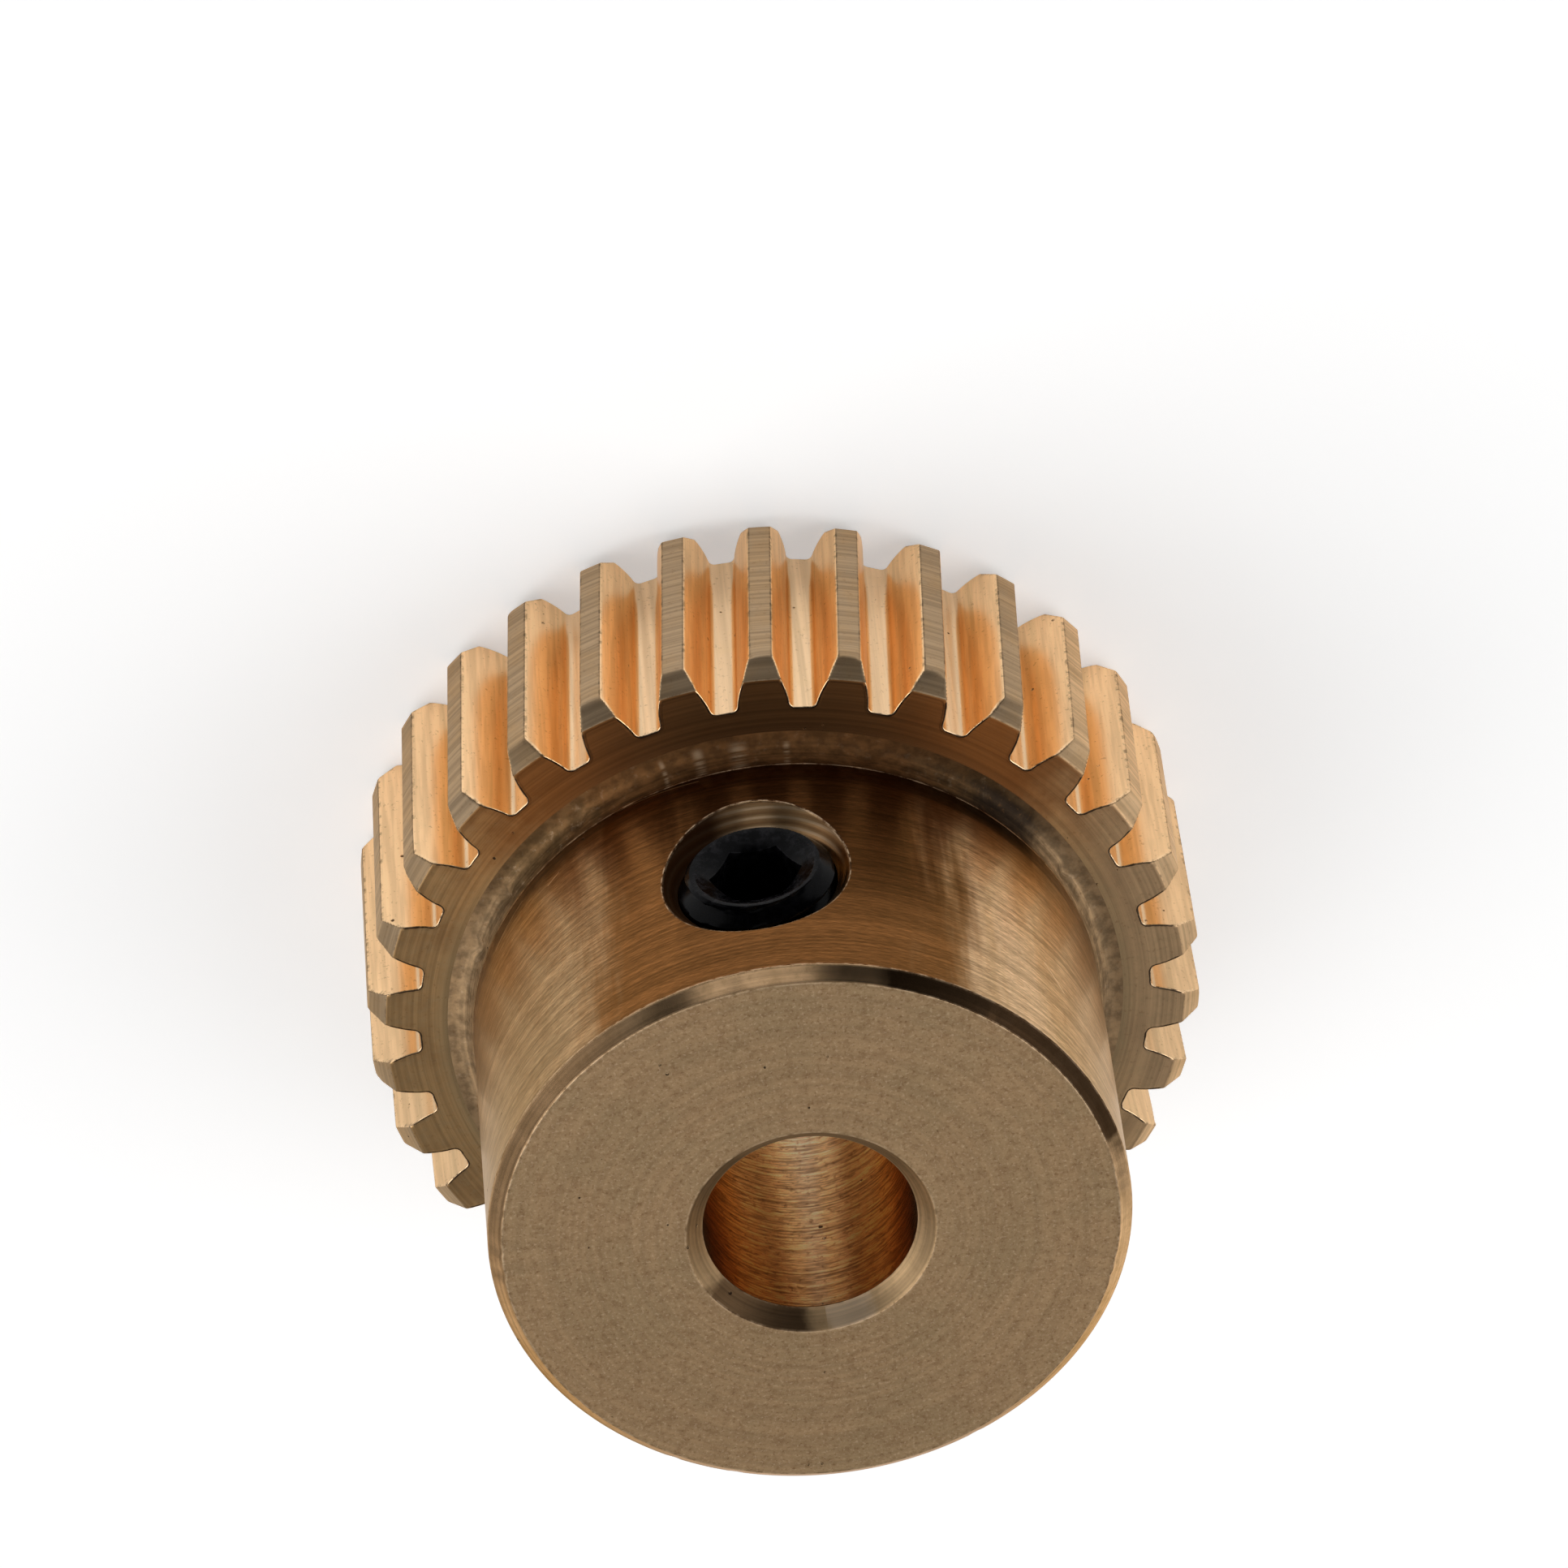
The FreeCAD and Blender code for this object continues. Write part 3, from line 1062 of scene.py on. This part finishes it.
def flank_brass():
    brass = Brass("flank", BRASS_FRESH, 0.28, 0.3, 0)
    lines = brass.along_teeth()
    # Painted shade: deeper orange low on the flanks, near the root
    streaks = brass.ramp(brass.noise(lines, 3.5, 3), 0.35, 0.65, 0.6, 0.1)
    brass.blend(BRASS_ORANGE, brass.ramp(brass.radius(), 7.52, 7.45), streaks)
    brass.blend(BRASS_PALE, brass.ramp(brass.radius(), 7.16, 7.08, 0.5))
    # Painted shade: duller flanks toward +Y, the far side from the screw
    brass.blend(BRASS_PAINTED_SHADE_DULL, brass.ramp(brass.along("Y"), -2.5, 3, 0.45))
    brass.marks(8, 0.0012, 0.12, 0.1, lines, 2)
    brass.clouds(2.2, 0.25, BRASS_ORANGE, 0.5, 0.7)
    brass.specks(12, 0.35, TARNISH, 0.6, 0.7)
    brass.pit(0.38, 0.045)
    brass.worn_edges(6, 0.9, 0.1)
    return brass.done()


def land_brass():
    brass = Brass("land", BRASS_LAND, 0.42, 0.5)
    # Painted light: paler lands on the -X side
    brass.blend(BRASS_FRESH, brass.ramp(brass.along("X"), -5, -7, 0.6))
    brass.clouds(1.1, 0.4, BRASS_RIM)
    brass.marks(14, 0.0015, 0.2, 0.2)
    brass.specks(12, 0.25, TARNISH)
    brass.pit(0.4, 0.045)
    brass.worn_edges(6, 0.9, 0.05)
    brass.roughen(brass.edge_wear(), 0.3)
    return brass.done()


def bore_brass():
    brass = Brass("bore", BRASS_BORE, 0.22, 0.5)
    side = brass.math("ABSOLUTE", brass.along("X"))
    brass.clouds(0.9, 0.35, BRASS_ORANGE)
    # Painted highlight down the bore's middle, and painted shade toward its sides
    brass.blend(BRASS_PAINTED_HIGHLIGHT_PINK, brass.ramp(side, 0.8, 0.35, 0.6))
    brass.blend(TARNISH, brass.ramp(side, 1.15, 1.9, 0.65))
    brass.marks(3, 0.003, 0.15, 0.1)
    brass.marks(16, 0.0026, 0.34, 0.38)
    brass.marks(15, 0.0024, 0.32, 0.4, brass.stretched(0.22, 0.22, 1))
    brass.specks(8, 0.55, TARNISH, 0.56, 0.68)
    brass.pit(0.5, 0.05)
    brass.worn_edges(5, 0.3, 0.5)
    return brass.done()


def chamfer_brass():
    """Chamfers of the hub, which are the outer ones, and of the bore."""
    brass = Brass("chamfer", BRASS_CHAMFER, 0.22, 0.4, edge_tint=TINT_DARK)
    brass.clouds(1.2, 0.35, BRASS_RIM)
    brass.specks(7, 0.35, BRASS_RIM, 0.45, 0.7)
    outer = brass.ramp(brass.radius(), 4, 5)
    inner = brass.math("SUBTRACT", 1, outer)
    # Painted shade on the chamfers' +X side
    painted_side_shade = brass.ramp(brass.bearing(), 22, 34, 0.45)
    brass.blend(TARNISH, painted_side_shade, brass.not_behind())
    # Painted dark reflection on the outer chamfer, to the -X side of the screw
    brass.blend(STAIN_AND_PAINTED_SHADE, outer, brass.near_bearing(-50, 31, 5), 0.88)
    brass.blend(BRASS_OLIVE, inner, 0.5)
    # Painted shade on the far side of the bore's chamfer, and a painted glint beside it
    brass.blend(STAIN_AND_PAINTED_SHADE, inner, brass.near_bearing(143, 30, 5), 0.8)
    brass.blend(BRASS_PALE, brass.near_bearing(-168, 11, 4), inner, 0.9)
    brass.roughen(inner, 0.18)
    brass.roughen(brass.edge_wear(), 0.2)
    brass.marks(14, 0.0008, 0.2, 0.2)
    brass.pit(0.4, 0.05)
    brass.worn_edges(5, 0.3, 0.2)
    return brass.done()


def mouth_brass():
    brass = Brass("mouth", BRASS_TURNED, 0.3, edge_tint=TINT_WARM)
    brass.clouds(1.5, 0.3, TARNISH)
    local = brass.round_screw()
    turns = brass.times(brass.coordinate(local, "Y"), 2 * math.pi / MOUTH_RING_STEP)
    rings = brass.math("SINE", turns)
    brass.blend(TARNISH, brass.ramp(rings, 0.2, 1, 0.5))
    brass.blend(BRASS_PALE, brass.ramp(rings, -0.2, -1, 0.4))
    brass.raise_by(rings, 0.002)
    brass.marks(9, 0.003, 0.2, 0.2, local, 1)
    # Painted shade on the countersink's +X wall and at its -X end
    dark = brass.ramp(brass.along("X"), 0, 0.8)
    brass.blend(STAIN_AND_PAINTED_SHADE, dark, 0.95)
    brass.roughen(dark, 0.5)
    brass.blend(STAIN_AND_PAINTED_SHADE, brass.ramp(brass.along("X"), -0.9, -1.6, 0.8))
    brass.worn_edges(5, 0.3, 0.2)
    return brass.done()


def oxide_steel():
    steel = Material("screw_steel")
    grain = steel.noise(steel.millimetres(), 6, 4, 0.6)
    # Rubbed edges, which also carry the painted highlights on the socket's cone
    rubbed_and_highlit = steel.times(steel.edge_wear(), steel.ramp(grain, 0.45, 0.7, 0.7))
    toned = steel.mix(steel.ramp(grain, 0.35, 0.7), STEEL_BLACK, STEEL_GREY)
    steel.set("Base Color", steel.mix(rubbed_and_highlit, toned, STEEL_RUBBED_AND_HIGHLIGHT))
    steel.set("Roughness", steel.ramp(grain, 0.3, 0.7, 0.24, 0.14))
    steel.set("Specular IOR Level", 0.055)
    steel.lift(grain, 0.0008 * MM)
    return steel.material


def wheel_materials():
    """In the order of the kinds of surface."""
    return [turned_brass(), faced_brass(), rim_face_brass(), flank_brass(), land_brass(),
            bore_brass(), chamfer_brass(), mouth_brass(), root_brass()]


# Floor, light and camera, with sizes and distances in metres

FLOOR_SIZE = 2
FLOOR_HEIGHT = -0.00002
FLOOR_GLOW = 0.42


def add_floor():
    """Pale floor that glows a little where it is seen, and is clear from below."""
    bpy.ops.mesh.primitive_plane_add(size=FLOOR_SIZE, location=(0, 0, FLOOR_HEIGHT))
    floor = bpy.context.object
    floor.name = "floor"
    white = Material("floor_white")
    rays = white.add("LightPath").outputs
    seen = white.math("MAXIMUM", rays["Is Camera Ray"], rays["Is Glossy Ray"])
    seen = white.math("MAXIMUM", seen, rays["Is Transmission Ray"])
    white.set("Base Color", FLOOR_WHITE)
    white.set("Roughness", 0.9)
    white.set("Specular IOR Level", 0.1)
    white.set("Emission Color", WHITE)
    white.set("Emission Strength", white.times(seen, FLOOR_GLOW))
    mixed = white.add("MixShader")
    white.feed(mixed, 0, white.add("NewGeometry").outputs["Backfacing"])
    white.feed(mixed, 1, white.shader.outputs[0])
    white.feed(mixed, 2, white.add("BsdfTransparent").outputs[0])
    white.feed(white.tree.nodes["Material Output"], "Surface", mixed.outputs[0])
    floor.data.materials.append(white.material)


def direction(azimuth, elevation):
    a = math.radians(azimuth)
    e = math.radians(elevation)
    return Vector((math.cos(a) * math.cos(e), math.sin(a) * math.cos(e), math.sin(e)))


def add_panel(name, azimuth, elevation, distance, width, height, radiance):
    """Soft lamp facing the object. Its brightness is the radiance of its surface."""
    lamp = bpy.data.lights.new(name, "AREA")
    lamp.shape = "RECTANGLE"
    lamp.size = width
    lamp.size_y = height
    lamp.energy = radiance * math.pi * width * height
    panel = bpy.data.objects.new(name, lamp)
    towards = direction(azimuth, elevation)
    panel.location = towards * distance
    panel.rotation_euler = towards.to_track_quat("Z", "Y").to_euler()
    panel.visible_camera = False
    bpy.context.scene.collection.objects.link(panel)


def add_world():
    """Studio that is bright behind and at +X, and dark in front."""
    world = bpy.data.worlds.new("studio")
    world.use_nodes = True
    bpy.context.scene.world = world
    nodes = Nodes(world.node_tree)
    background = world.node_tree.nodes["Background"]
    place = nodes.add("TexCoord").outputs["Generated"]
    behind = nodes.ramp(nodes.coordinate(place, "Y"), -0.8, 0.25, 0.34, 0.012)
    beside = nodes.ramp(nodes.coordinate(place, "X"), 0.45, 0.8, 0.3)
    nodes.feed(background, "Color", WHITE)
    nodes.feed(background, "Strength", nodes.math("MAXIMUM", behind, beside))


# Camera, with its distance and aim in millimetres
camera_azimuth = -92.503
camera_elevation = 54.716
camera_distance = 178.389
camera_aim = (-0.63618, -3.94289, 3.19295)
camera_roll = -173.316
camera_lens = 214.891


def add_camera():
    data = bpy.data.cameras.new("camera")
    data.sensor_width = 36
    data.lens = camera_lens
    data.clip_start = 0.01
    data.clip_end = 5
    camera = bpy.data.objects.new("camera", data)
    away = direction(camera_azimuth, camera_elevation)
    camera.location = (Vector(camera_aim) + away * camera_distance) * MM
    upright = (-away).to_track_quat("-Z", "Y")
    roll = Quaternion((0, 0, 1), -math.radians(camera_roll))
    camera.rotation_mode = "QUATERNION"
    camera.rotation_quaternion = upright @ roll
    bpy.context.scene.collection.objects.link(camera)
    bpy.context.scene.camera = camera


wheel = worm_wheel(wheel_materials())
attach(wheel, "root")
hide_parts("worm_wheel")
screw = grub_screw([oxide_steel()])
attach(screw, "root")
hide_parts("grub_screw")

add_floor()
add_world()
add_panel("lamp_left", 8, 52, 0.35, 0.24, 0.24, 2.6)
add_panel("lamp_right", 172, 52, 0.35, 0.24, 0.24, 2.3)
add_panel("lamp_strip", -84, 34, 0.4, 0.22, 0.1, 0.6)
add_camera()
bpy.context.scene.view_settings.view_transform = "Standard"
